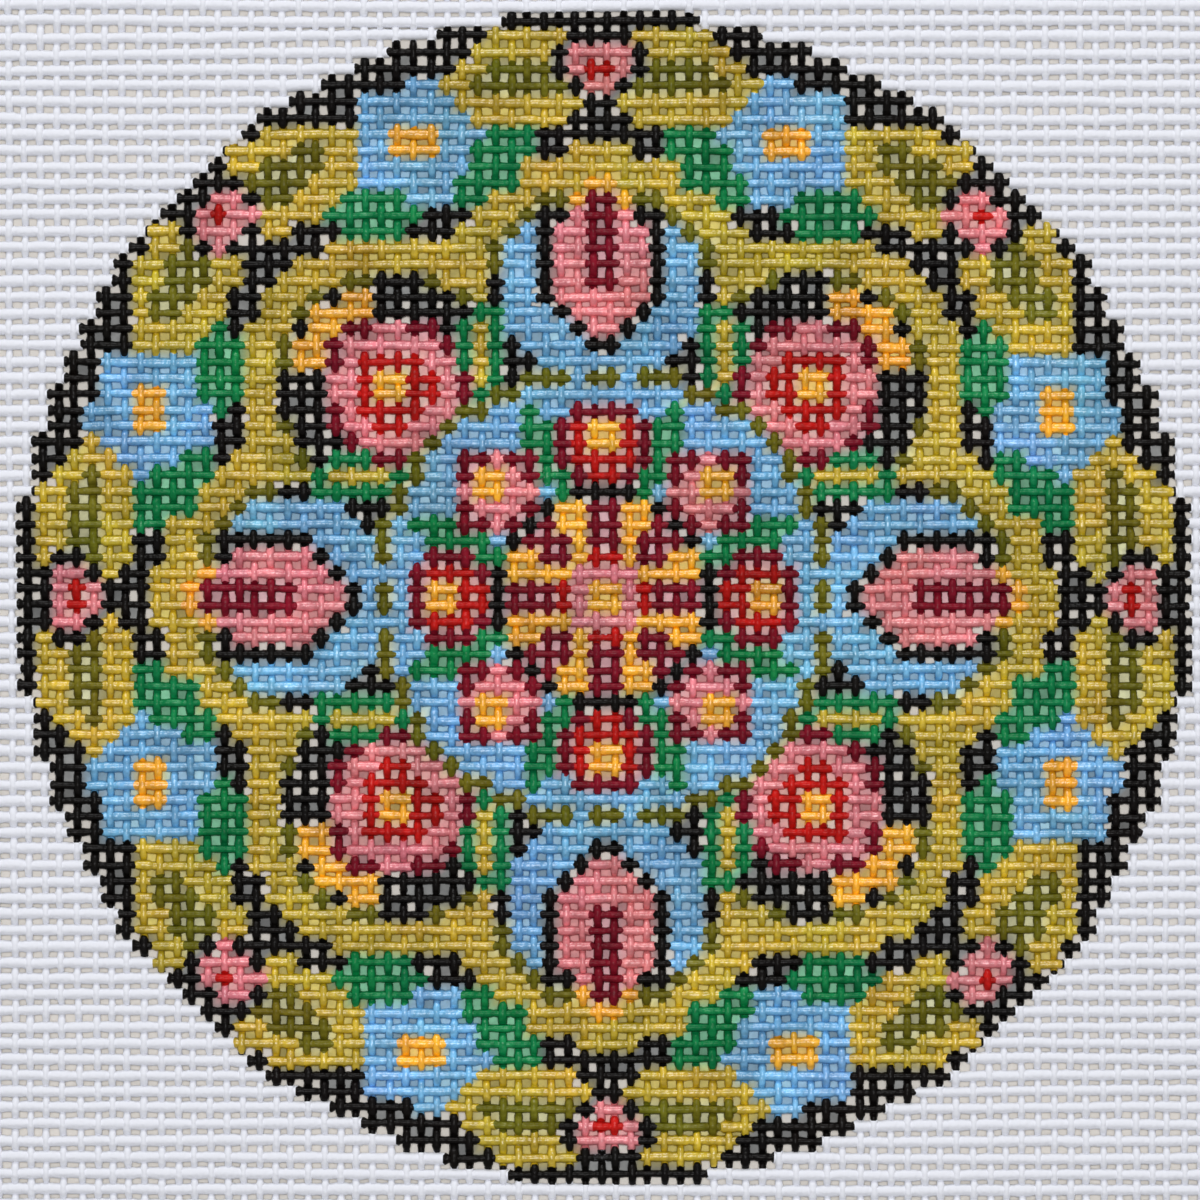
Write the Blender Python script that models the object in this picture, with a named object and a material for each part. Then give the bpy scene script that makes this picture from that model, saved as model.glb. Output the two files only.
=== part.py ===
"""Needlepoint canvas panel: one flat, square piece of stiff white mono canvas, 18 threads to the inch.

Metres, +Z up. The panel lies with its painted face up. The origin is the middle of its underside, +X runs
along the weft threads and +Y along the warp threads, towards the top of the design.
"""

import bmesh
import bpy

MM = 0.001
INCH = 25.4 * MM

# Driving dimensions.
MESH_PER_INCH = 18                          # threads to the inch, the canvas's count
DESIGN_THREADS = 72                         # across the painted round: 4 in
MARGIN_THREADS = 18                         # bare canvas left on each side of the round: 1 in
THICKNESS = 1.0 * MM                        # two threads at a crossing, with the size and paint on them
EDGE_ROUND = 0.2 * MM                       # softened arris where the threads are cut
EDGE_ROUND_STEPS = 2

THREAD_PITCH = INCH / MESH_PER_INCH
PANEL_THREADS = DESIGN_THREADS + 2 * MARGIN_THREADS
PANEL_SIDE = PANEL_THREADS * THREAD_PITCH   # 152.4 mm, 6 in

CANVAS_COLOUR = (0.80, 0.80, 0.83, 1.0)     # sized, bleached cotton
CANVAS_ROUGHNESS = 0.75


def remove_all_objects() -> None:
    """Empty the scene."""
    for old in list(bpy.data.objects):
        bpy.data.objects.remove(old, do_unlink=True)


def canvas_material() -> bpy.types.Material:
    """Return the finish of the sized white cotton canvas."""
    material = bpy.data.materials.new("canvas")
    material.use_nodes = True
    shader = material.node_tree.nodes["Principled BSDF"]
    shader.inputs["Base Color"].default_value = CANVAS_COLOUR
    shader.inputs["Roughness"].default_value = CANVAS_ROUGHNESS
    shader.inputs["Metallic"].default_value = 0.0
    return material


def canvas_mesh() -> bpy.types.Mesh:
    """Return the panel as one closed sheet, from its underside at z = 0 up to its painted face."""
    sheet = bmesh.new()
    bmesh.ops.create_grid(sheet, x_segments=1, y_segments=1, size=PANEL_SIDE / 2)
    underside = list(sheet.faces)
    raised = bmesh.ops.extrude_face_region(sheet, geom=underside, use_keep_orig=True)
    top_points = [item for item in raised["geom"] if isinstance(item, bmesh.types.BMVert)]
    bmesh.ops.translate(sheet, verts=top_points, vec=(0.0, 0.0, THICKNESS))
    bmesh.ops.recalc_face_normals(sheet, faces=sheet.faces)
    bmesh.ops.bevel(
        sheet,
        geom=list(sheet.edges),
        offset=EDGE_ROUND,
        affect="EDGES",
        segments=EDGE_ROUND_STEPS,
        profile=0.5,
        material=-1,
    )
    mesh = bpy.data.meshes.new("canvas_panel")
    sheet.to_mesh(mesh)
    sheet.free()
    return mesh


def build_canvas_panel() -> bpy.types.Object:
    """Place the canvas in the scene and return its object."""
    mesh = canvas_mesh()
    mesh.materials.append(canvas_material())
    panel = bpy.data.objects.new("canvas_panel", mesh)
    bpy.context.scene.collection.objects.link(panel)
    return panel


def main() -> None:
    """Build the whole part."""
    remove_all_objects()
    build_canvas_panel()


main()
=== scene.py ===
"""Looks of the needlepoint canvas panel: its woven threads, the painted round, and a plain studio.

The canvas is a plain weave of stiff white mono threads, 18 to the inch. Every warp and weft thread is made as
a real thread that passes over and under the others, and the design is painted on the threads, one colour to
a crossing. All sizes are metres in the part's own frame, with the painted face towards +Z.
"""

import logging
import math
from dataclasses import dataclass, field, replace
from enum import Enum

import bmesh
import bpy
import numpy as np
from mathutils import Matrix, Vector

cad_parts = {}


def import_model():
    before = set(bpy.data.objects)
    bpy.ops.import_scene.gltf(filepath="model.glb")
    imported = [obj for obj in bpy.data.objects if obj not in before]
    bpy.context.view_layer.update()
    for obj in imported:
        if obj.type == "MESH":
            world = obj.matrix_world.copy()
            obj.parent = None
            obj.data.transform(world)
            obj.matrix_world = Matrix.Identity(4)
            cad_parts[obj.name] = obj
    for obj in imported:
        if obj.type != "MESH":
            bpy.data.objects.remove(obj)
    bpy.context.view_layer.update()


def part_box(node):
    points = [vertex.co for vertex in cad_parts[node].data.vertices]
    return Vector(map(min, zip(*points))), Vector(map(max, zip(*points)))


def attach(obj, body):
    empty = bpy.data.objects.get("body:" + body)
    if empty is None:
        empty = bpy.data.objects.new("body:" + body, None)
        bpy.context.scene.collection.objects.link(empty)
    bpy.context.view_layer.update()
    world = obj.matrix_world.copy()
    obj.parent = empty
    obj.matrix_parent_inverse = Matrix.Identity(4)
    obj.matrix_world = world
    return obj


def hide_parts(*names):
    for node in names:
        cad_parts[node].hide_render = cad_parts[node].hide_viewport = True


LOG = logging.getLogger("needlepoint_canvas")
MM = 0.001
NODE = "canvas_panel"
BODY = "root"
PHOTO_THREADS = 74              # the picture takes in this many
BANDS = 3                       # pieces to each direction of threads
RINGS = 3                       # rings of a thread to a crossing
TAIL = 2                        # deviations at which a random draw is cut off


def linear(srgb: tuple[int, int, int]) -> tuple[float, float, float]:
    """Return a colour seen as sRGB, 0 to 255, as the linear colour a shader takes.

    Args:
        srgb: Red, green and blue as seen.

    Returns:
        The same colour, linear, 0 to 1.
    """
    parts = [value / 255 for value in srgb]
    return tuple(p / 12.92 if p <= 0.04045 else ((p + 0.055) / 1.055) ** 2.4 for p in parts)


def smooth_noise(rng: np.random.Generator, shape: tuple[int, ...], spreads: tuple[float, ...]) -> np.ndarray:
    """Return seeded noise of about unit size that changes slowly along each axis.

    Args:
        rng: The seeded source.
        shape: Shape of the array wanted.
        spreads: For each axis, over how many steps the noise is smoothed.

    Returns:
        The noise, with a mean of about 0 and a deviation of 1.
    """
    noise = rng.standard_normal(shape)
    for axis, spread in enumerate(spreads):
        if spread > 0:
            reach = math.ceil(3 * spread)
            steps = np.arange(-reach, reach + 1)
            weights = np.exp(-0.5 * (steps / spread) ** 2)
            padding = [(reach, reach) if a == axis else (0, 0) for a in range(len(shape))]
            padded = np.pad(noise, padding, mode="wrap")
            noise = np.apply_along_axis(np.convolve, axis, padded, weights, "valid")
    return noise / noise.std()


# ------------------------------------------------------------------------------
# The painted round
# ------------------------------------------------------------------------------


@dataclass(frozen=True)
class Pot:
    """One colour of paint, as sRGB: on the thread, and as the thin film that it leaves in the holes, whose
    colour is partly the paint's tint and partly painted shade of the hole.

    Where two paints meet, the one of the higher rank lies over the other.
    """

    srgb: tuple[int, int, int]
    film: tuple[int, int, int]
    rank: int
    pale: bool = False


class Paint(Enum):
    """The painter's colours."""

    # Film colours are partly the paint's tint and partly painted shade of the holes; the black paint's grey
    # film is painted shade alone.
    BLACK = Pot((15, 12, 11), (147, 148, 147), 6)
    OLIVE = Pot((198, 168, 24), (218, 202, 108), 1, True)
    DARK_OLIVE = Pot((104, 99, 20), (226, 223, 174), 3)
    GREEN = Pot((8, 124, 68), (130, 200, 160), 4)
    BLUE = Pot((110, 176, 222), (164, 203, 225), 0, True)
    PINK = Pot((226, 124, 132), (237, 166, 166), 2, True)
    RED = Pot((182, 22, 18), (252, 199, 188), 5)
    MAROON = Pot((118, 16, 34), (230, 177, 183), 7)
    GOLD = Pot((246, 172, 16), (232, 206, 112), 2, True)


PAINTS = list(Paint)
BARE = -1                       # a crossing with no paint on it
WHITE = (1.0, 1.0, 1.0)         # stands for the paint of a bare crossing, and never shows
LETTERS = {                     # of the half chart below
    "K": Paint.BLACK,
    "D": Paint.DARK_OLIVE,
    "B": Paint.BLUE,
    "P": Paint.PINK,
    "M": Paint.MAROON,
    "Y": Paint.GOLD,
}

# Right half of a tulip, from its middle line outwards. The first row is its tip.
TULIP = (
    "Y.....",
    "MY....",
    "MP....",
    "MPP.B.",
    "MPP.BB",
    "MPPKBB",
    "MPPKBB",
    "PPPKBB",
    "PPKBBB",
    "PKBBBB",
    "KBBBB.",
    "BBBB..",
    "DB....",
)


@dataclass(frozen=True)
class Disc:
    """A round spot on the chart. Lengths are in threads, and the bearing is from +X."""

    reach: float
    bearing: float
    radius: float
    paint: Paint

    def turned(self, bearing: float) -> "Disc":
        """Return the same spot elsewhere round the chart.

        Args:
            bearing: How far round the chart it goes.

        Returns:
            The turned spot.
        """
        return replace(self, bearing=bearing + self.bearing)

    def covers(self, x: np.ndarray, y: np.ndarray) -> np.ndarray:
        """Return which crossings the spot covers.

        Args:
            x: Place of each crossing across the round.
            y: Place of each crossing up the round.

        Returns:
            True where the spot is.
        """
        across = x - self.reach * math.cos(self.bearing)
        up = y - self.reach * math.sin(self.bearing)
        return np.hypot(across, up) < self.radius


@dataclass(frozen=True)
class Petal:
    """A petal or leaf on the chart, from its root towards its tip, with or without a vein."""

    reach: float
    bearing: float
    lean: float
    length: float
    width: float
    paint: Paint
    fullness: float = 0.8
    vein: Paint | None = None
    vein_span: tuple[float, float] = (0.1, 0.85)        # of its length

    def turned(self, bearing: float, side: int = 1) -> "Petal":
        """Return the same petal elsewhere round the chart, or its mirror image there.

        Args:
            bearing: How far round the chart it goes.
            side: 1 for the petal, -1 for its mirror image, and 0 to stand it upright between them.

        Returns:
            The turned petal.
        """
        return replace(self, bearing=bearing + side * self.bearing, lean=side * self.lean)

    def covers(self, x: np.ndarray, y: np.ndarray, slim: float = 0.0) -> np.ndarray:
        """Return which crossings the petal covers.

        Args:
            x: Place of each crossing across the round.
            y: Place of each crossing up the round.
            slim: Half the width of the vein, or 0 for the whole petal.

        Returns:
            True where the petal, or its vein, is.
        """
        heading = self.bearing + self.lean
        across = x - self.reach * math.cos(self.bearing)
        up = y - self.reach * math.sin(self.bearing)
        along = (across * math.cos(heading) + up * math.sin(heading)) / self.length
        aside = np.abs(up * math.cos(heading) - across * math.sin(heading))
        inside = (along > 0) & (along < 1)
        half = self.width / 2 * np.sin(np.pi * np.clip(along, 0, 1) ** self.fullness)
        if slim:
            start, end = self.vein_span
            return inside & (along > start) & (along < end) & (aside < slim)
        return inside & (aside < half)


@dataclass
class Medallion:
    """A round folk medallion, much the same in eight directions, charted one crossing at a time.

    Lengths are in threads. Each motif is given as it stands on +X, and its steps are radii with their paints,
    from the lowest layer up.
    """

    threads: int = 72
    lobes: int = 8
    lobe_reach: float = 18.0
    lobe_steps: tuple = ((9.7, Paint.OLIVE), (7.5, Paint.DARK_OLIVE), (6.9, Paint.BLACK))
    vein_half: float = 0.5
    wreath_leaves: tuple = (
        Petal(25.6, 0.03, 0.95, 8.6, 4.4, Paint.GREEN, 0.9),
        Petal(32.0, 0.06, 1.62, 13.6, 6.6, Paint.OLIVE, 0.9),
        Petal(32.5, 0.14, 1.66, 8.6, 2.6, Paint.DARK_OLIVE, 0.9),
    )
    flower_reach: float = 30.2
    flower_petals: int = 5
    flower_spread: float = 2.2
    flower_petal_radius: float = 1.95
    flower_heart_radius: float = 1.25
    bud: tuple = (
        Disc(33.0, 0.0, 2.6, Paint.BLACK),
        Disc(32.8, 0.0, 1.75, Paint.PINK),
        Disc(32.8, 0.0, 0.72, Paint.RED),
    )
    fruit_leaf: Petal = Petal(12.6, 0.0, 1.0, 10.2, 4.8, Paint.GREEN, 0.85, Paint.OLIVE)
    fruit_crown: Petal = Petal(21.0, 0.0, 0.75, 4.4, 2.6, Paint.GOLD)
    fruit_reach: float = 18.2
    fruit_steps: tuple = ((4.6, Paint.MAROON), (3.8, Paint.PINK), (2.5, Paint.RED), (1.1, Paint.GOLD))
    rosette_steps: tuple = ((14.4, Paint.DARK_OLIVE), (13.6, Paint.BLUE))
    rosette_leaf: Petal = Petal(6.6, 0.0, 0.0, 6.6, 3.2, Paint.GREEN, 0.9)
    small_flower_reach: float = 9.2
    small_flower_radii: tuple[float, float] = (2.9, 2.2)
    small_heart: Disc = Disc(9.8, 0.0, 0.9, Paint.GOLD)
    sun_steps: tuple = ((6.9, Paint.BLACK), (6.2, Paint.GOLD))
    sun_heart_steps: tuple = ((2.9, Paint.RED), (2.2, Paint.PINK), (0.9, Paint.GOLD))
    ray_pairs: int = 8
    tulip_tip: float = 25.5
    chart: np.ndarray = field(init=False)

    def __post_init__(self) -> None:
        """Lay out the empty chart: rows go up the canvas and columns to the right."""
        places = np.arange(self.threads) - (self.threads - 1) / 2
        self.x, self.y = np.meshgrid(places, places)
        self.radius = np.hypot(self.x, self.y)
        self.inside = self.radius < self.threads / 2
        self.chart = np.where(self.inside, PAINTS.index(Paint.BLACK), BARE)

    def lay(self, where: np.ndarray, paint: Paint) -> None:
        """Paint the crossings named, inside the round.

        Args:
            where: True for each crossing to paint.
            paint: The paint.
        """
        self.chart[where & self.inside] = PAINTS.index(paint)

    def lay_rings(self, steps: tuple) -> None:
        """Paint rounds about the middle of the chart.

        Args:
            steps: Their radii and paints, in order.
        """
        for size, paint in steps:
            self.lay(self.radius < size, paint)

    def lay_all(self, motifs: list) -> None:
        """Paint discs and petals.

        Args:
            motifs: The discs and petals, in order.
        """
        for motif in motifs:
            self.lay(motif.covers(self.x, self.y), motif.paint)
            if isinstance(motif, Petal) and motif.vein is not None:
                self.lay(motif.covers(self.x, self.y, self.vein_half), motif.vein)

    def lobed_band(self) -> None:
        """Paint the band of eight lobes, with the black ground inside it."""
        for size, paint in self.lobe_steps:
            for lobe in range(self.lobes):
                bearing = lobe * math.tau / self.lobes
                self.lay_all([Disc(self.lobe_reach, bearing, size, paint)])
        self.lay(self.radius < self.lobe_reach, Paint.BLACK)

    def wreath(self) -> None:
        """Paint the wreath round the edge: flowers in the notches, paired leaves, and buds between."""
        for lobe in range(self.lobes):
            bearing = (lobe + 0.5) * math.tau / self.lobes
            motifs = []
            for side in (-1, 1):
                motifs += [leaf.turned(bearing, side) for leaf in self.wreath_leaves]
            for petal in range(self.flower_petals):
                turn = petal * math.tau / self.flower_petals + math.pi
                out = self.flower_reach + self.flower_spread * math.cos(turn)
                aside = self.flower_spread * math.sin(turn)
                reach, swing = math.hypot(out, aside), math.atan2(aside, out)
                motifs.append(Disc(reach, bearing + swing, self.flower_petal_radius, Paint.BLUE))
            motifs.append(Disc(self.flower_reach, bearing, self.flower_heart_radius, Paint.GOLD))
            self.lay_all(motifs)
        for lobe in range(self.lobes):
            bearing = lobe * math.tau / self.lobes
            self.lay_all([spot.turned(bearing) for spot in self.bud])

    def pomegranates(self) -> None:
        """Paint the four fruits on the diagonals, with their crowns, hearts and leaves."""
        for quarter in range(4):
            bearing = (quarter + 0.5) * math.pi / 2
            motifs = [self.fruit_leaf.turned(bearing, side) for side in (-1, 1)]
            motifs += [self.fruit_crown.turned(bearing, side) for side in (0, -1, 1)]
            motifs += [Disc(self.fruit_reach, bearing, size, paint) for size, paint in self.fruit_steps]
            self.lay_all(motifs)

    def rosette(self) -> None:
        """Paint the blue middle with its leaves, its eight small flowers and the striped sun."""
        self.lay_rings(self.rosette_steps)
        for lobe in range(self.lobes):
            self.lay_all([self.rosette_leaf.turned((lobe + 0.5) * math.tau / self.lobes)])
        for lobe in range(self.lobes):
            bearing = lobe * math.tau / self.lobes
            paints = (Paint.MAROON, Paint.PINK if lobe % 2 else Paint.RED)
            for size, paint in zip(self.small_flower_radii, paints):
                self.lay_all([Disc(self.small_flower_reach, bearing, size, paint)])
            self.lay_all([self.small_heart.turned(bearing)])
        self.lay_rings(self.sun_steps)
        sun_radius = self.sun_steps[-1][0]
        ray = np.arctan2(self.y, self.x) * self.ray_pairs / math.tau
        self.lay((self.radius < sun_radius) & ((ray + 0.25) % 1.0 < 0.5), Paint.MAROON)
        self.lay_rings(self.sun_heart_steps)

    def tulips(self) -> None:
        """Paint the four tulips on the axes, each from its half chart and its mirror image."""
        middle = (self.threads - 1) / 2
        for row, line in enumerate(TULIP):
            for column, letter in enumerate(line):
                if letter == ".":
                    continue
                tall = self.tulip_tip - row
                for wide in (column + 0.5, -column - 0.5):
                    for x, y in ((wide, tall), (tall, wide), (wide, -tall), (-tall, wide)):
                        place = round(y + middle), round(x + middle)
                        self.chart[place] = PAINTS.index(LETTERS[letter])

    def painted(self) -> np.ndarray:
        """Return the finished chart, one paint number to a crossing."""
        self.lobed_band()
        self.wreath()
        self.pomegranates()
        self.rosette()
        self.tulips()
        return self.chart


# ------------------------------------------------------------------------------
# The woven canvas
# ------------------------------------------------------------------------------


class Direction(Enum):
    """Which way a thread runs: weft along X, warp along Y."""

    WEFT = "weft"
    WARP = "warp"


@dataclass(frozen=True)
class ThreadSizes:
    """One mono thread of the canvas, in metres. Offsets along it are in pitches."""

    weft_half_width: float = 0.500 * MM
    warp_half_width: float = 0.330 * MM
    weft_half_height: float = 0.46 * MM
    warp_half_height: float = 0.28 * MM
    weft_crimp: float = 0.03 * MM       # how far it passes above or below the middle of the cloth
    warp_crimp: float = 0.24 * MM
    crimp_unevenness: float = 0.04
    skin: float = 0.004 * MM            # left free under and over the threads, inside the cloth's thickness
    sides: int = 6
    shoulder: float = 0.32              # half the length over a crossing, before the thread turns down
    over_swell: float = 0.03
    gap_waist: float = 0.02
    pale_swell: tuple[float, float] = (-0.12, 0.07)     # how paint widens a weft and a warp thread
    dark_swell: tuple[float, float] = (-0.31, 0.14)
    slub: float = 0.05                  # of the width, over several rings
    slub_reach: float = 5.0             # in rings
    unevenness: tuple[float, float] = (0.035, 0.06)     # of the width, from ring to ring: bare, painted
    stub: float = 0.12                  # how unevenly the ends are cut


@dataclass(frozen=True)
class Brushwork:
    """How the paint lies on the threads. Tones and hues are linear, and lengths are in pitches."""

    patchiness: float = 0.09            # of its tone, over neighbouring crossings
    patch: float = 1.4
    speckle: float = 0.03               # of its tone, from crossing to crossing
    hue: float = 0.04
    hue_patch: float = 1.0
    cover: float = 0.97                 # how well a full brush covers the cotton
    dryness: float = 0.10
    least_cover: float = 0.5
    line_cover: float = 0.95            # of the thin dark line round the design
    line_share: float = 0.85            # of the threads, on which it shows
    line_width: float = 0.16
    seep_heights: tuple[float, float, float] = (-0.9, -0.3, 0.3)    # on a thread, from -1 to 1
    seep_cover: tuple[float, float, float] = (0.12, 0.75, 1.0)      # at those heights


@dataclass
class Weave:
    """The plain weave: where each warp crosses each weft, and what is painted there."""

    side: float
    thickness: float
    threads: int = 108
    skew: float = 0.0075                # the warp leans by this much
    wander: float = 0.055               # in pitches, along a thread
    wander_reach: tuple[float, float] = (6.0, 0.6)      # in crossings, along the thread and across it
    jitter: float = 0.020               # in pitches, at each crossing
    seed: int = 18
    thread: ThreadSizes = field(default_factory=ThreadSizes)
    brush: Brushwork = field(default_factory=Brushwork)

    def __post_init__(self) -> None:
        """Place the crossings, and paint the medallion in the middle of the canvas."""
        self.pitch = self.side / self.threads
        self.rng = np.random.default_rng(self.seed)
        places = (np.arange(self.threads) - (self.threads - 1) / 2) * self.pitch
        x, y = np.meshgrid(places, places)
        shape = (self.threads, self.threads)
        sway_x = self.wander * smooth_noise(self.rng, shape, self.wander_reach)
        sway_y = self.wander * smooth_noise(self.rng, shape, self.wander_reach[::-1])
        sway_x += self.jitter * self.rng.standard_normal(shape)
        sway_y += self.jitter * self.rng.standard_normal(shape)
        self.points = np.stack([x - self.skew * y + sway_x * self.pitch, y + sway_y * self.pitch], axis=-1)
        row, column = np.indices(shape)
        self.weft_over = np.where((row + column) % 2 == 0, 1.0, -1.0)
        self.paint = np.full(shape, BARE)
        chart = Medallion().painted()
        start = (self.threads - len(chart)) // 2
        self.paint[start:start + len(chart), start:start + len(chart)] = chart
        self.tint = self.paint_tints()

    def paint_tints(self) -> np.ndarray:
        """Return each crossing's own linear paint colour, a little uneven, and how well it covers."""
        shape, brush = self.paint.shape, self.brush
        pots = np.array([linear(paint.value.srgb) for paint in PAINTS] + [WHITE])
        colour = pots[self.paint]
        value = 1 + brush.patchiness * smooth_noise(self.rng, shape, (brush.patch, brush.patch))
        value += brush.speckle * self.rng.standard_normal(shape)
        hue = 1 + brush.hue * smooth_noise(self.rng, shape + (3,), (brush.hue_patch, brush.hue_patch, 0.0))
        dry = brush.dryness * np.abs(self.rng.standard_normal(shape))
        cover = np.clip(brush.cover - dry, brush.least_cover, 1.0)
        cover[self.paint == BARE] = 0.0
        return np.concatenate([colour * value[..., None] * hue, cover[..., None]], axis=-1)

    def along(self, direction: Direction, values: np.ndarray) -> np.ndarray:
        """Return values of the crossings in the order of the threads of one direction.

        Args:
            direction: Which way the threads run.
            values: The values, as [row, column] of the crossings.

        Returns:
            The same values, as [thread, crossing along it].
        """
        return values if direction is Direction.WEFT else np.swapaxes(values, 0, 1)


@dataclass(frozen=True)
class BakeLayout:
    """Where the threads of a band lie in its baking map: side by side, each in a strip as long as the map."""

    run: tuple[float, float] = (0.015, 0.97)            # where a thread's sides start, and how long they are
    rise: tuple[float, float] = (0.04, 0.92)            # the same across, as shares of the strip
    overrun: float = 0.75                               # in pitches, past the first and the last crossing
    cap_inset: float = 0.007                            # of an end face's middle from the map's edge
    cap_half: tuple[float, float] = (0.004, 0.3)        # half an end face, of the map and of the strip


@dataclass
class ThreadBand:
    """A band of neighbouring threads of one direction, made as one joined piece."""

    name: str
    weave: Weave
    direction: Direction
    first: int
    count: int
    spacing: float = 4.0                # of the blank threads, whose radius is 1
    bake: BakeLayout = field(default_factory=BakeLayout)

    def blank(self) -> bpy.types.Mesh:
        """Return one straight thread along Z, a unit from ring to ring, with closed ends."""
        strips = RINGS * self.weave.threads
        thread = bmesh.new()
        bmesh.ops.create_cone(
            thread,
            cap_ends=True,
            cap_tris=False,
            segments=self.weave.thread.sides,
            radius1=1.0,
            radius2=1.0,
            depth=strips,
        )
        lengthwise = [e for e in thread.edges if abs(e.verts[0].co.z - e.verts[1].co.z) > 1.0]
        bmesh.ops.subdivide_edges(thread, edges=lengthwise, cuts=strips - 1, use_grid_fill=True)
        mesh = bpy.data.meshes.new(self.name + "_blank")
        thread.to_mesh(mesh)
        thread.free()
        return mesh

    def arrayed(self) -> bpy.types.Mesh:
        """Return the band's threads as one mesh, still straight, in the order of the threads."""
        blank = self.blank()
        holder = bpy.data.objects.new(self.name + "_blank", blank)
        bpy.context.scene.collection.objects.link(holder)
        array = holder.modifiers.new("threads", "ARRAY")
        array.use_relative_offset = False
        array.use_constant_offset = True
        array.constant_offset_displace = (self.spacing, 0.0, 0.0)
        array.count = self.count
        evaluated = holder.evaluated_get(bpy.context.evaluated_depsgraph_get())
        mesh = bpy.data.meshes.new_from_object(evaluated)
        bpy.data.objects.remove(holder)
        bpy.data.meshes.remove(blank)
        mesh.name = self.name
        return mesh

    def build(self, finish: "CanvasFinish") -> bpy.types.Object:
        """Weave the band and dress it.

        Args:
            finish: The finish of the thread and its paint.

        Returns:
            The finished piece, riding on the body.
        """
        mesh = self.arrayed()
        co = np.zeros(len(mesh.vertices) * 3)
        mesh.vertices.foreach_get("co", co)
        co = co.reshape(self.count, -1, 3)
        ring = np.rint(co[..., 2] + RINGS * self.weave.threads / 2).astype(int)
        middle = self.spacing * np.arange(self.count)[:, None]
        angle = np.arctan2(co[..., 1], co[..., 0] - middle) - math.pi / 2
        side = np.rint(angle / math.tau * self.weave.thread.sides).astype(int) % self.weave.thread.sides
        thread = np.broadcast_to(np.arange(self.count)[:, None], ring.shape)
        stations = self.stations()
        woven = self.woven(stations)[thread.ravel(), ring.ravel(), side.ravel()]
        mesh.vertices.foreach_set("co", woven.astype(np.float32).ravel())
        self.dress(mesh, thread.ravel(), ring.ravel(), side.ravel(), stations)
        mesh.materials.clear()
        mesh.materials.append(finish.material())
        mesh.update()
        piece = bpy.data.objects.new(self.name, mesh)
        bpy.context.scene.collection.objects.link(piece)
        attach(piece, BODY)
        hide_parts(NODE)
        return piece

    def mine(self, values: np.ndarray) -> np.ndarray:
        """Return this band's share of the values of the crossings.

        Args:
            values: The values, as [row, column] of the crossings.

        Returns:
            The band's own, as [thread, crossing].
        """
        return self.weave.along(self.direction, values)[self.first:self.first + self.count]

    def stations(self) -> np.ndarray:
        """Return where each ring of each thread lies along it, in pitches from its first crossing."""
        sizes, weave = self.weave.thread, self.weave
        crossing = np.arange(weave.threads)[:, None]
        steps = crossing + np.array([-sizes.shoulder, sizes.shoulder, 0.5])
        line = np.concatenate([[-0.5], steps.ravel()])
        stations = np.tile(line, (self.count, 1))
        stations[:, 0] -= np.abs(weave.rng.standard_normal(self.count)) * sizes.stub - sizes.stub
        stations[:, -1] += np.abs(weave.rng.standard_normal(self.count)) * sizes.stub - sizes.stub
        return stations

    def centre_lines(self, stations: np.ndarray) -> np.ndarray:
        """Return the middle of each thread at each ring.

        Args:
            stations: Where each ring lies along its thread, in pitches.

        Returns:
            The middles, as [thread, ring, 3].
        """
        weave, sizes = self.weave, self.weave.thread
        points = self.mine(weave.points)
        before = np.clip(np.floor(stations).astype(int), 0, weave.threads - 2)
        share = (stations - before)[..., None]
        row = np.arange(self.count)[:, None]
        flat = points[row, before] * (1 - share) + points[row, before + 1] * share
        crimp = sizes.weft_crimp if self.direction is Direction.WEFT else -sizes.warp_crimp
        rise = self.mine(weave.weft_over) * crimp
        rise = rise * (1 + sizes.crimp_unevenness * weave.rng.standard_normal(rise.shape).clip(-TAIL, TAIL))
        height = np.zeros(stations.shape)
        height[:, 1::RINGS] = rise
        height[:, 2::RINGS] = rise
        return np.concatenate([flat, (height + weave.thickness / 2)[..., None]], axis=-1)

    def woven(self, stations: np.ndarray) -> np.ndarray:
        """Return the points of the woven threads.

        Args:
            stations: Where each ring lies along its thread, in pitches.

        Returns:
            The points, as [thread, ring, side, 3].
        """
        weave, sizes = self.weave, self.weave.thread
        centre = self.centre_lines(stations)
        run = np.gradient(centre, axis=1)
        run /= np.linalg.norm(run, axis=-1, keepdims=True)
        across = np.cross((0.0, 0.0, 1.0), run)
        across /= np.linalg.norm(across, axis=-1, keepdims=True)
        up = np.cross(run, across)
        weft = self.direction is Direction.WEFT
        over = self.mine(weave.weft_over) * (1.0 if weft else -1.0)
        wide = np.full(stations.shape, 1.0 - sizes.gap_waist)
        wide[:, 1::RINGS] = 1.0 + sizes.over_swell * (over > 0)
        wide[:, 2::RINGS] = wide[:, 1::RINGS]
        kind = 0 if weft else 1
        swells = [(sizes.pale_swell if pot.value.pale else sizes.dark_swell)[kind] for pot in PAINTS]
        painted = np.array(swells + [0.0])[self.mine(weave.paint)]
        wide[:, 1:] += np.repeat(painted, RINGS, axis=1)
        slubs = smooth_noise(weave.rng, stations.shape, (0.0, sizes.slub_reach))
        wide *= 1 + sizes.slub * slubs.clip(-TAIL, TAIL)
        uneven = np.full(stations.shape, sizes.unevenness[0])
        uneven[:, 1:][np.repeat(self.mine(weave.paint) != BARE, RINGS, axis=1)] = sizes.unevenness[1]
        wide *= 1 + uneven * weave.rng.standard_normal(stations.shape).clip(-TAIL, TAIL)
        wide *= sizes.weft_half_width if weft else sizes.warp_half_width
        tall = sizes.weft_half_height if weft else sizes.warp_half_height
        turn = np.arange(sizes.sides) / sizes.sides * math.tau
        points = (
            centre[:, :, None]
            + (wide[:, :, None] * np.cos(turn))[..., None] * across[:, :, None]
            + (tall * np.sin(turn))[:, None] * up[:, :, None]
        )
        points[..., 2] = points[..., 2].clip(sizes.skin, weave.thickness - sizes.skin)
        return points

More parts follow.
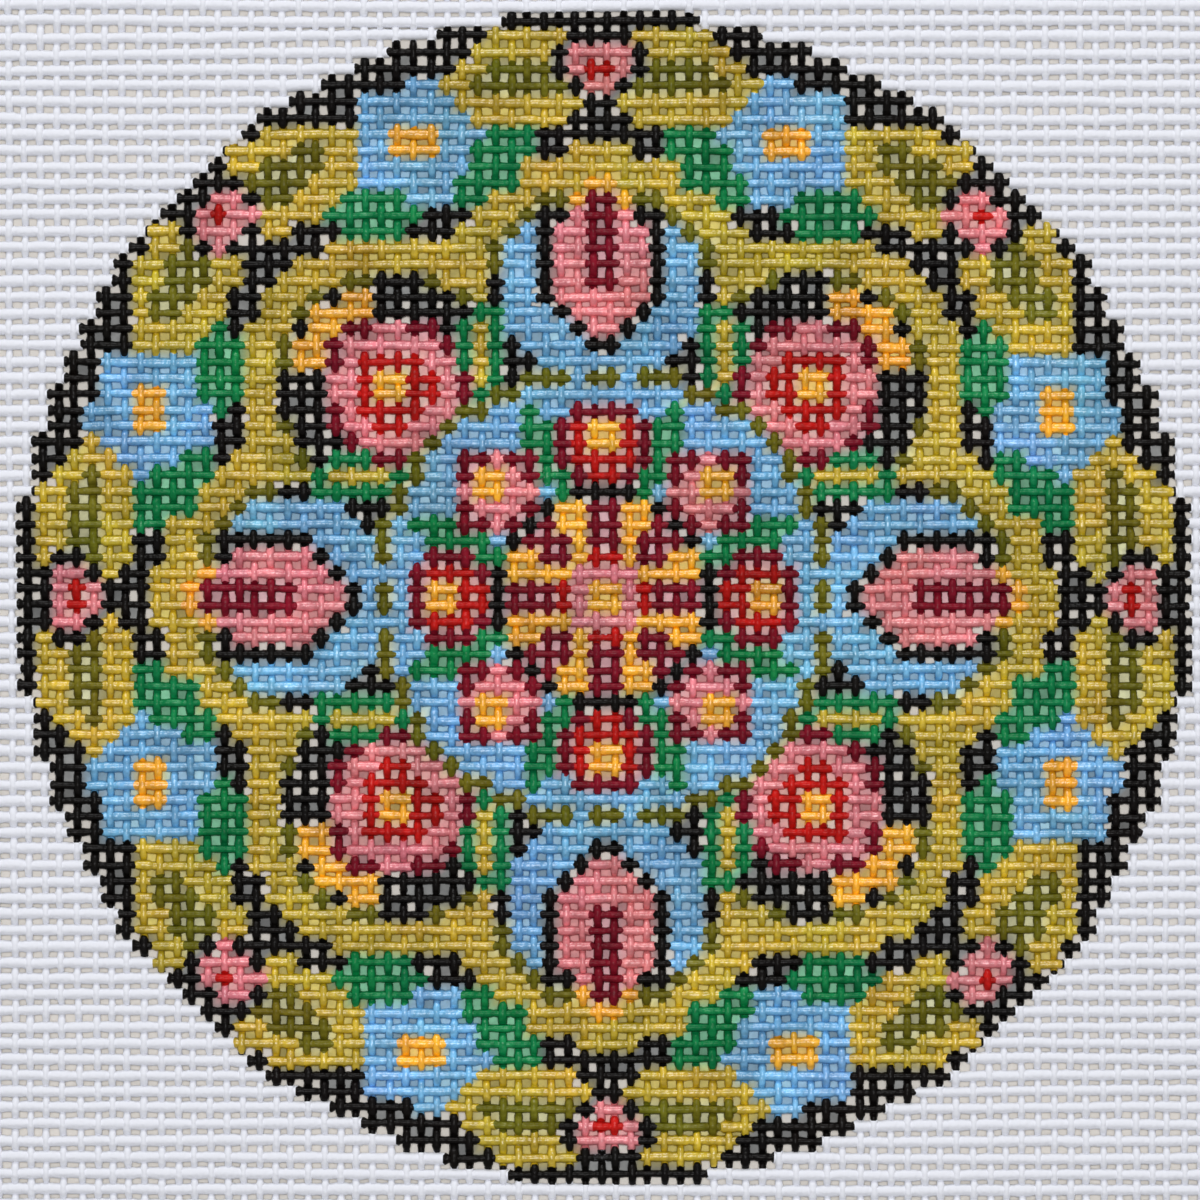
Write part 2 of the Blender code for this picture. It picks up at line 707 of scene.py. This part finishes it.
    def dress(
        self,
        mesh: bpy.types.Mesh,
        thread: np.ndarray,
        ring: np.ndarray,
        side: np.ndarray,
        stations: np.ndarray,
    ) -> None:
        """Give the band its paint colours, its maps and its smooth shading.

        Args:
            mesh: The woven band.
            thread: For each vertex, its thread's number in the band.
            ring: For each vertex, its ring's number along the thread.
            side: For each vertex, its place round the thread.
            stations: Where each ring lies along its thread, in pitches.
        """
        sizes, weave = self.weave.thread, self.weave
        corner = np.zeros(len(mesh.loops), np.int32)
        mesh.loops.foreach_get("vertex_index", corner)
        start = np.zeros(len(mesh.polygons), np.int32)
        total = np.zeros(len(mesh.polygons), np.int32)
        mesh.polygons.foreach_get("loop_start", start)
        mesh.polygons.foreach_get("loop_total", total)
        face = np.repeat(np.arange(len(start)), total)
        low = np.minimum.reduceat(ring[corner], start)
        capped = total != 4
        strip = np.where(capped & (low > 0), low - 1, low)
        thread_of, strip_of, ring_of, side_of = thread[corner], strip[face], ring[corner], side[corner]
        here, beyond, meeting = self.strip_paints()
        reach = self.coverage(side_of)
        for name, colours in (("paint", here), ("paint_beyond", beyond)):
            corner_colour = colours[thread_of, strip_of]
            corner_colour[:, 3] *= reach
            layer = mesh.color_attributes.new(name, "FLOAT_COLOR", "CORNER")
            layer.data.foreach_set("color", corner_colour.astype(np.float32).ravel())
        layer = mesh.attributes.new("meeting", "FLOAT_VECTOR", "CORNER")
        layer.data.foreach_set("vector", meeting[thread_of, strip_of].astype(np.float32).ravel())

        wraps = np.maximum.reduceat(side_of, start) - np.minimum.reduceat(side_of, start) > sizes.sides / 2
        around = np.where(wraps[face] & (side_of == 0) & ~capped[face], sizes.sides, side_of) / sizes.sides
        station = stations[thread_of, ring_of]
        own = np.stack([station + 2.0 * weave.threads * thread_of, around], axis=-1)
        mesh.uv_layers.new(name="Thread").data.foreach_set("uv", own.astype(np.float32).ravel())
        baked = self.baking_places(station, around, thread_of, ring_of, side_of, capped[face])
        mesh.uv_layers.new(name="OFBake").data.foreach_set("uv", baked.astype(np.float32).ravel())
        mesh.uv_layers["Thread"].active_render = True
        mesh.polygons.foreach_set("use_smooth", ~capped)

    def baking_places(
        self,
        station: np.ndarray,
        around: np.ndarray,
        thread: np.ndarray,
        ring: np.ndarray,
        side: np.ndarray,
        capped: np.ndarray,
    ) -> np.ndarray:
        """Return where each corner lies in the band's baking map.

        Args:
            station: For each corner, how far along its thread it is, in pitches.
            around: For each corner, how far round its thread it is, 0 to 1.
            thread: For each corner, its thread's number in the band.
            ring: For each corner, its ring's number along the thread.
            side: For each corner, its place round the thread.
            capped: True for each corner of an end face.

        Returns:
            The places, as [corner, 2], all between 0 and 1.
        """
        bake = self.bake
        whole = self.weave.threads - 1 + 2 * bake.overrun
        length = (station + bake.overrun) / whole * bake.run[1] + bake.run[0]
        spot = side / self.weave.thread.sides * math.tau
        end = np.where(ring > 0, 1 - bake.cap_inset, bake.cap_inset) + bake.cap_half[0] * np.cos(spot)
        length = np.where(capped, end, length)
        middle = 0.5 + bake.cap_half[1] * np.sin(spot)
        height = np.where(capped, middle, bake.rise[0] + bake.rise[1] * around)
        return np.stack([length, (thread + height) / self.count], axis=-1)

    def strip_paints(self) -> tuple[np.ndarray, np.ndarray, np.ndarray]:
        """Return what is painted on each strip between two rings, as three [thread, strip, ...] arrays.

        Between two crossings one paint meets the next halfway. The thin dark line round the design shows
        there as a short dark mark on the bare threads that come to the edge of the round.

        Returns:
            The linear colour and cover of the paint on the strip's near side, the same for its far side,
            and a vector: where the two meet, as a share of the way from crossing to crossing, and which of
            them lies over the other, 1 for the near one and -1 for the far one.
        """
        weave, brush = self.weave, self.weave.brush
        tint = self.mine(weave.tint)
        paint = self.mine(weave.paint)
        rank = np.array([pot.value.rank for pot in PAINTS] + [-1])[paint]
        here = np.repeat(tint[:, :, None], RINGS, axis=2)
        beyond = here.copy()
        here[:, 1:, 0] = tint[:, :-1]
        beyond[:, :-1, 2] = tint[:, 1:]
        meeting = np.zeros((self.count, weave.threads, RINGS, 3))
        meeting[..., 0] = 0.5
        meeting[:, 1:, 0, 1] = np.sign(rank[:, :-1] - rank[:, 1:])
        meeting[:, :-1, 2, 1] = np.sign(rank[:, :-1] - rank[:, 1:])

        line = np.array([*linear(Paint.BLACK.value.srgb), brush.line_cover])
        drawn = weave.rng.random(paint.shape + (2,)) < brush.line_share
        into = (paint[:, 1:] == BARE) & (paint[:, :-1] != BARE) & drawn[:, 1:, 0]
        out_of = (paint[:, :-1] == BARE) & (paint[:, 1:] != BARE) & drawn[:, :-1, 1]
        here[:, 1:, 0][into] = line
        beyond[:, :-1, 2][into] = line
        meeting[:, 1:, 0, 0][into] = 0.5 + brush.line_width
        here[:, 1:, 0][out_of] = line
        beyond[:, :-1, 2][out_of] = line
        meeting[:, :-1, 2, 0][out_of] = 0.5 - brush.line_width
        strips = (self.count, RINGS * weave.threads)
        return here.reshape(*strips, 4), beyond.reshape(*strips, 4), meeting.reshape(*strips, 3)

    def coverage(self, side: np.ndarray) -> np.ndarray:
        """Return how much of the paint reaches each corner: all on top, little underneath.

        Args:
            side: For each corner, its place round the thread.

        Returns:
            A share from 0 to 1 for each corner.
        """
        height = np.sin(side / self.weave.thread.sides * math.tau)
        return np.interp(height, self.weave.brush.seep_heights, self.weave.brush.seep_cover)


@dataclass
class PaintFilmAndShade:
    """The thin film left in the holes of the painted round, in all but some black ones: partly a film of
    paint and partly a sheet of painted shade over the pale floor, grey in the black ground.
    """

    name: str
    weave: Weave
    level: float = 0.30 * MM
    thickness: float = 0.04 * MM
    open_share: float = 0.38            # of the holes in the black ground
    unevenness: float = 0.20            # of its tone, from hole to hole
    brightest: float = 0.95             # linear

    def filled(self, paint: np.ndarray) -> np.ndarray:
        """Return which holes have a film, by the paints of the crossings.

        Args:
            paint: The paint number of each crossing.

        Returns:
            True for each hole, as [row, column], that has a film in it.
        """
        black = paint == PAINTS.index(Paint.BLACK)
        corners = [slice(0, -1), slice(1, None)]
        bare = sum((paint[rows, columns] == BARE) * 1 for rows in corners for columns in corners)
        dark = sum(black[rows, columns] * 1 for rows in corners for columns in corners)
        luck = self.weave.rng.random(bare.shape)
        return (bare == 0) & (luck > self.open_share * dark / 4)

    def build(self, finish: "CanvasFinish") -> bpy.types.Object:
        """Make the film as one joined piece.

        Args:
            finish: The finish of the thread and its paint.

        Returns:
            The finished piece, riding on the body.
        """
        weave = self.weave
        holes = weave.threads - 1
        film = bmesh.new()
        bmesh.ops.create_grid(film, x_segments=holes, y_segments=holes, size=holes / 2)
        tone = 1 + self.unevenness * weave.rng.standard_normal((holes, holes)).clip(-TAIL, TAIL)
        film_and_shade_colours = np.array([linear(paint.value.film) for paint in PAINTS] + [WHITE])[weave.paint]
        filled = self.filled(weave.paint)
        layer = film.loops.layers.float_color.new("paint")
        empty = []
        for face in film.faces:
            middle = face.calc_center_median()
            row, column = (math.floor(c + holes / 2) for c in (middle.y, middle.x))
            if not filled[row, column]:
                empty.append(face)
            for loop in face.loops:
                place = tuple(round(c + holes / 2) for c in (loop.vert.co.y, loop.vert.co.x))
                # The film's colour is partly the paint's tint and partly painted shade of the hole.
                loop[layer] = (*np.minimum(film_and_shade_colours[place] * tone[row, column], self.brightest), 1.0)
        for vert in film.verts:
            place = tuple(round(c + holes / 2) for c in (vert.co.y, vert.co.x))
            vert.co = (*weave.points[place], self.level)
        bmesh.ops.delete(film, geom=empty, context="FACES")
        bmesh.ops.solidify(film, geom=list(film.faces), thickness=self.thickness)
        mesh = bpy.data.meshes.new(self.name)
        film.to_mesh(mesh)
        film.free()
        mesh.materials.append(finish.film())
        piece = bpy.data.objects.new(self.name, mesh)
        bpy.context.scene.collection.objects.link(piece)
        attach(piece, BODY)
        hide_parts(NODE)
        return piece


# ------------------------------------------------------------------------------
# Finishes
# ------------------------------------------------------------------------------


class Graph:
    """A material's nodes, added and joined in short lines."""

    def __init__(self, material: bpy.types.Material) -> None:
        """Start from the material's own shader.

        Args:
            material: The material, still without nodes.
        """
        material.use_nodes = True
        self.tree = material.node_tree
        self.shader = self.tree.nodes["Principled BSDF"]

    def node(self, kind: str, inputs: dict, **settings: str) -> bpy.types.Node:
        """Add a node.

        Args:
            kind: The node's type, after ShaderNode.
            inputs: For each input, its number or the socket that feeds it.
            settings: The node's own settings.

        Returns:
            The new node.
        """
        node = self.tree.nodes.new("ShaderNode" + kind)
        for name, value in settings.items():
            setattr(node, name, value)
        self.feed(node, inputs)
        return node

    def feed(self, node: bpy.types.Node, inputs: dict) -> None:
        """Set or join the inputs of a node.

        Args:
            node: The node.
            inputs: For each input, its number or the socket that feeds it.
        """
        for name, value in inputs.items():
            if isinstance(value, bpy.types.NodeSocket):
                self.tree.links.new(value, node.inputs[name])
            else:
                node.inputs[name].default_value = value

    def math(self, operation: str, *values: object) -> bpy.types.NodeSocket:
        """Return the result of a sum.

        Args:
            operation: Which sum.
            values: Its numbers and sockets, in order.

        Returns:
            The socket of the result.
        """
        return self.node("Math", dict(enumerate(values)), operation=operation).outputs[0]

    def noise(self, place: bpy.types.NodeSocket, scale: float, detail: float) -> bpy.types.NodeSocket:
        """Return noise at a place.

        Args:
            place: The place.
            scale: How fine the noise is, per metre.
            detail: How many finer layers it has.

        Returns:
            The noise, about 0.5.
        """
        return self.node("TexNoise", {"Vector": place, "Scale": scale, "Detail": detail}).outputs["Fac"]

    def ramp(
        self, value: bpy.types.NodeSocket, low: object, high: object, start: float = 0.0, end: float = 1.0
    ) -> bpy.types.NodeSocket:
        """Return one value below a limit and another above a second one, smoothly between them.

        Args:
            value: What is compared with the limits.
            low: The lower limit.
            high: The upper limit.
            start: The result below the lower limit.
            end: The result above the upper limit.

        Returns:
            The socket of the result.
        """
        inputs = {"Value": value, "From Min": low, "From Max": high, "To Min": start, "To Max": end}
        return self.node("MapRange", inputs, interpolation_type="SMOOTHSTEP").outputs[0]

    def blend(self, share: object, first: object, second: object) -> bpy.types.NodeSocket:
        """Return a mix of two colours.

        Args:
            share: The share of the second.
            first: The first colour.
            second: The second colour.

        Returns:
            The mixed colour.
        """
        inputs = {"Factor": share, "A": first, "B": second}
        return self.node("Mix", inputs, data_type="RGBA").outputs["Result"]

    def scaled(self, colour: bpy.types.NodeSocket, tone: bpy.types.NodeSocket) -> bpy.types.NodeSocket:
        """Return a colour made darker or lighter.

        Args:
            colour: The colour.
            tone: What it is multiplied by.

        Returns:
            The toned colour.
        """
        return self.node("VectorMath", {0: colour, "Scale": tone}, operation="SCALE").outputs["Vector"]


@dataclass(frozen=True)
class CanvasFinish:
    """Sized white cotton thread, with acrylic paint where the paint attributes say.

    Scales of noise are per metre, and each goes with its detail.
    """

    cotton: tuple[int, int, int] = (238, 240, 249)
    cotton_roughness: float = 0.80
    paint_roughness: float = 0.30
    gloss: tuple[float, float] = (0.10, 1.0)            # of the darkest and the palest colours
    gloss_values: tuple[float, float] = (0.10, 0.40)    # how light those are
    fuzz: float = 0.8                   # how much the cotton's fine fibres brighten the flanks
    fuzz_roughness: float = 0.5
    grain: tuple[float, float] = (3200.0, 2.0)
    wobble_noise: tuple[float, float] = (1500.0, 1.0)
    wobble: float = 0.3                 # in pitches, of the edge between two paints
    edge_half: float = 0.02             # in pitches, of the blur of that edge
    star_crown: float = 0.15            # in pitches, how far the upper paint runs on along the crown
    star_flank: float = -0.08           # and what is taken off that everywhere
    tone_noise: tuple[float, float] = (420.0, 3.0)
    tone_ends: tuple[float, float] = (0.3, 0.7)         # of the noise
    tone: tuple[float, float] = (0.82, 1.16)            # of the paint, at those ends
    blot_noise: tuple[float, float] = (1900.0, 2.0)
    blot_ends: tuple[float, float] = (0.25, 0.75)
    blot: tuple[float, float] = (0.78, 1.20)
    shade_heights: tuple[float, float] = (0.3, 0.95)  # on the thread, from -1 to 1
    pooling_and_shade: tuple[float, float] = (0.86, 1.04)         # the paint's tone in the flanks and on the crown: darker flanks are pooled paint and painted shade, the lighter crown a painted highlight
    fray: float = 0.7                   # how much the grain breaks up the paint's edge
    fray_ends: tuple[float, float] = (0.28, 0.58)       # of the cover, from bare to painted
    film_roughness: float = 0.6
    film_noise: tuple[float, float] = (1500.0, 2.0)
    film_tone: tuple[float, float] = (0.88, 1.08)
    twist_per_pitch: float = 2.37
    twist_relief: float = 0.25
    grain_relief: float = 1.5
    relief_strength: float = 0.6
    relief_height: float = 0.06 * MM
    name: str = "canvas thread"

    def material(self) -> bpy.types.Material:
        """Return the finish, made once and shared by all the bands."""
        made = bpy.data.materials.get(self.name)
        if made is not None:
            return made
        made = bpy.data.materials.new(self.name)
        graph = Graph(made)
        place = graph.node("TexCoord", {}).outputs["Object"]
        own = graph.node("UVMap", {}, uv_map="Thread").outputs["UV"]
        along, around = graph.node("SeparateXYZ", {"Vector": own}).outputs[:2]
        grain = graph.noise(place, *self.grain)
        colour, cover = self.paint(graph, place, along, around, grain)
        cotton = (*linear(self.cotton), 1.0)
        shown = graph.blend(cover, cotton, colour)
        roughness = graph.ramp(cover, 0.0, 1.0, self.cotton_roughness, self.paint_roughness)
        normal = self.relief(graph, along, around, grain)
        graph.feed(graph.shader, {"Base Color": shown, "Roughness": roughness, "Normal": normal})
        value = graph.node("RGBToBW", {"Color": shown}).outputs["Val"]
        gloss = graph.ramp(value, *self.gloss_values, *self.gloss)
        graph.feed(graph.shader, {"Specular IOR Level": gloss, "Sheen Roughness": self.fuzz_roughness})
        graph.feed(graph.shader, {"Sheen Weight": graph.ramp(cover, 0.0, 1.0, self.fuzz, 0.0)})
        return made

    def paint(
        self,
        graph: Graph,
        place: bpy.types.NodeSocket,
        along: bpy.types.NodeSocket,
        around: bpy.types.NodeSocket,
        grain: bpy.types.NodeSocket,
    ) -> tuple[bpy.types.NodeSocket, bpy.types.NodeSocket]:
        """Work out the paint at each place on a thread.

        Where two paints meet between crossings, the upper one runs on along the crown of the thread, so a
        lone crossing is a small star.

        Args:
            graph: The material's nodes.
            place: The place in the part's frame.
            along: The place along the thread, in pitches, a whole number at each crossing.
            around: The place round the thread, 0 to 1.
            grain: The noise that frays the paint's edges.

        Returns:
            The paint's colour, and how far it covers the cotton.
        """
        here = graph.node("VertexColor", {}, layer_name="paint")
        beyond = graph.node("VertexColor", {}, layer_name="paint_beyond")
        meeting = graph.node("Attribute", {}, attribute_name="meeting").outputs["Vector"]
        where, lead = graph.node("SeparateXYZ", {"Vector": meeting}).outputs[:2]
        step = graph.math("FRACT", along)
        crown = graph.math("SINE", graph.math("MULTIPLY", around, math.tau))
        run = graph.math("MULTIPLY_ADD", crown, self.star_crown, self.star_flank)
        edge = graph.math("MULTIPLY_ADD", lead, run, where)
        uneven = graph.noise(place, *self.wobble_noise)
        wobble = graph.math("MULTIPLY_ADD", uneven, self.wobble, -self.wobble / 2)
        edge = graph.math("ADD", edge, wobble)
        share = graph.ramp(graph.math("SUBTRACT", step, edge), -self.edge_half, self.edge_half)
        mixed = graph.blend(share, here.outputs["Color"], beyond.outputs["Color"])
        alpha = graph.math("MULTIPLY", graph.math("SUBTRACT", 1.0, share), here.outputs["Alpha"])
        alpha = graph.math("MULTIPLY_ADD", beyond.outputs["Alpha"], share, alpha)
        tone = graph.ramp(graph.noise(place, *self.tone_noise), *self.tone_ends, *self.tone)
        blot = graph.ramp(graph.noise(place, *self.blot_noise), *self.blot_ends, *self.blot)
        tone = graph.math("MULTIPLY", tone, blot)
        # Painted shade and highlight: the paint is darker in the flanks, partly pooled paint and partly
        # painted shade, and lighter on the crown as a painted highlight.
        tone = graph.math("MULTIPLY", tone, graph.ramp(crown, *self.shade_heights, *self.pooling_and_shade))
        toned = graph.scaled(mixed, tone)
        frayed = graph.math("ADD", alpha, graph.math("MULTIPLY_ADD", grain, self.fray, -self.fray / 2))
        return toned, graph.ramp(frayed, *self.fray_ends)

    def film(self) -> bpy.types.Material:
        """Return the finish of the thin film in the holes, coloured partly by the paint and partly as painted
        shade.
        """
        made = bpy.data.materials.new("paint film and shade")
        graph = Graph(made)
        place = graph.node("TexCoord", {}).outputs["Object"]
        colour = graph.node("VertexColor", {}, layer_name="paint").outputs["Color"]
        tone = graph.ramp(graph.noise(place, *self.film_noise), *self.tone_ends, *self.film_tone)
        toned = graph.scaled(colour, tone)
        graph.feed(graph.shader, {"Base Color": toned, "Roughness": self.film_roughness})
        return made

    def relief(
        self,
        graph: Graph,
        along: bpy.types.NodeSocket,
        around: bpy.types.NodeSocket,
        grain: bpy.types.NodeSocket,
    ) -> bpy.types.NodeSocket:
        """Return the fine relief of the twisted fibres and the grain of size and paint.

        Args:
            graph: The material's nodes.
            along: The place along the thread, in pitches.
            around: The place round the thread, 0 to 1.
            grain: Fine noise.

        Returns:
            The bumped normal.
        """
        phase = graph.math("MULTIPLY_ADD", along, self.twist_per_pitch, around)
        twist = graph.math("SINE", graph.math("MULTIPLY", phase, math.tau))
        rough = graph.math("MULTIPLY", grain, self.grain_relief)
        height = graph.math("MULTIPLY_ADD", twist, self.twist_relief, rough)
        inputs = {"Strength": self.relief_strength, "Distance": self.relief_height, "Height": height}
        return graph.node("Bump", inputs).outputs["Normal"]


# ------------------------------------------------------------------------------
# Studio
# ------------------------------------------------------------------------------


@dataclass(frozen=True)
class Lamp:
    """A soft square light that faces the canvas: its name, place, side in metres and power in watts."""

    name: str
    place: tuple[float, float, float]
    side: float
    power: float


@dataclass
class Studio:
    """A pale floor, soft lights and the camera, straight above the canvas."""

    view_width: float                       # how much of the canvas the picture takes in
    view_centre: tuple[float, float] = (-0.35 * MM, -0.26 * MM)
    lens: float = 200.0
    sensor: float = 36.0
    nearest: float = 0.01                   # what the camera can see
    floor_side: float = 3.0
    floor_gap: float = 0.02 * MM            # so that no thread lies in the floor's own plane
    floor_colour: tuple[int, int, int] = (255, 249, 240)
    floor_roughness: float = 0.9
    lamps: tuple[Lamp, ...] = (
        Lamp("key", (-0.10, 0.94, 0.50), 0.42, 4.3),
        Lamp("overhead", (0.0, 0.05, 0.9), 0.30, 3.4),
    )
    air: float = 0.33                       # strength of the room's even light

    def build(self, floor_height: float) -> None:
        """Set up the whole studio.

        Args:
            floor_height: Where the canvas rests.
        """
        self.floor(floor_height)
        for lamp in self.lamps:
            self.light(lamp)
        self.world()
        self.camera()
        bpy.context.scene.view_settings.view_transform = "Standard"

    def floor(self, height: float) -> None:
        """Lay the pale floor.

        Args:
            height: Where the canvas rests.
        """
        sheet = bmesh.new()
        bmesh.ops.create_grid(sheet, x_segments=1, y_segments=1, size=self.floor_side / 2)
        bmesh.ops.translate(sheet, verts=sheet.verts, vec=(0.0, 0.0, height - self.floor_gap))
        mesh = bpy.data.meshes.new("floor")
        sheet.to_mesh(mesh)
        sheet.free()
        paper = bpy.data.materials.new("floor")
        paper.use_nodes = True
        shader = paper.node_tree.nodes["Principled BSDF"]
        shader.inputs["Base Color"].default_value = (*linear(self.floor_colour), 1.0)
        shader.inputs["Roughness"].default_value = self.floor_roughness
        mesh.materials.append(paper)
        floor = bpy.data.objects.new("floor", mesh)
        bpy.context.scene.collection.objects.link(floor)

    def light(self, lamp: Lamp) -> None:
        """Hang one light.

        Args:
            lamp: What it is like.
        """
        light = bpy.data.lights.new(lamp.name, "AREA")
        light.shape = "SQUARE"
        light.size = lamp.side
        light.energy = lamp.power
        holder = bpy.data.objects.new(lamp.name, light)
        holder.location = lamp.place
        holder.rotation_euler = (-Vector(lamp.place)).to_track_quat("-Z", "Y").to_euler()
        bpy.context.scene.collection.objects.link(holder)

    def world(self) -> None:
        """Fill the room with even pale light."""
        world = bpy.data.worlds.new("studio")
        world.use_nodes = True
        backdrop = world.node_tree.nodes["Background"]
        backdrop.inputs["Color"].default_value = (1.0, 1.0, 1.0, 1.0)
        backdrop.inputs["Strength"].default_value = self.air
        bpy.context.scene.world = world

    def camera(self) -> None:
        """Hang the camera straight above, with the top of the design at the top of the picture."""
        lens = bpy.data.cameras.new("camera")
        lens.lens = self.lens
        lens.sensor_width = self.sensor
        lens.clip_start = self.nearest
        holder = bpy.data.objects.new("camera", lens)
        distance = self.view_width * self.lens / self.sensor
        holder.location = (*self.view_centre, distance)
        bpy.context.scene.collection.objects.link(holder)
        bpy.context.scene.camera = holder


def main() -> None:
    """Build the canvas and the studio, and report each piece."""
    logging.basicConfig(level=logging.INFO, format="%(name)s: %(message)s")
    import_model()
    low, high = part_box(NODE)
    weave = Weave(side=high[0] - low[0], thickness=high[2] - low[2])
    finish = CanvasFinish()
    count = weave.threads // BANDS
    for direction in Direction:
        for band in range(BANDS):
            name = f"{direction.value}_threads_{band + 1}"
            piece = ThreadBand(name, weave, direction, band * count, count).build(finish)
            LOG.info("%s: %d faces", piece.name, len(piece.data.polygons))
    film = PaintFilmAndShade("paint_film_and_shade", weave).build(finish)
    LOG.info("%s: %d faces", film.name, len(film.data.polygons))
    Studio(view_width=PHOTO_THREADS * weave.pitch).build(low[2])


if __name__ == "__main__":
    main()
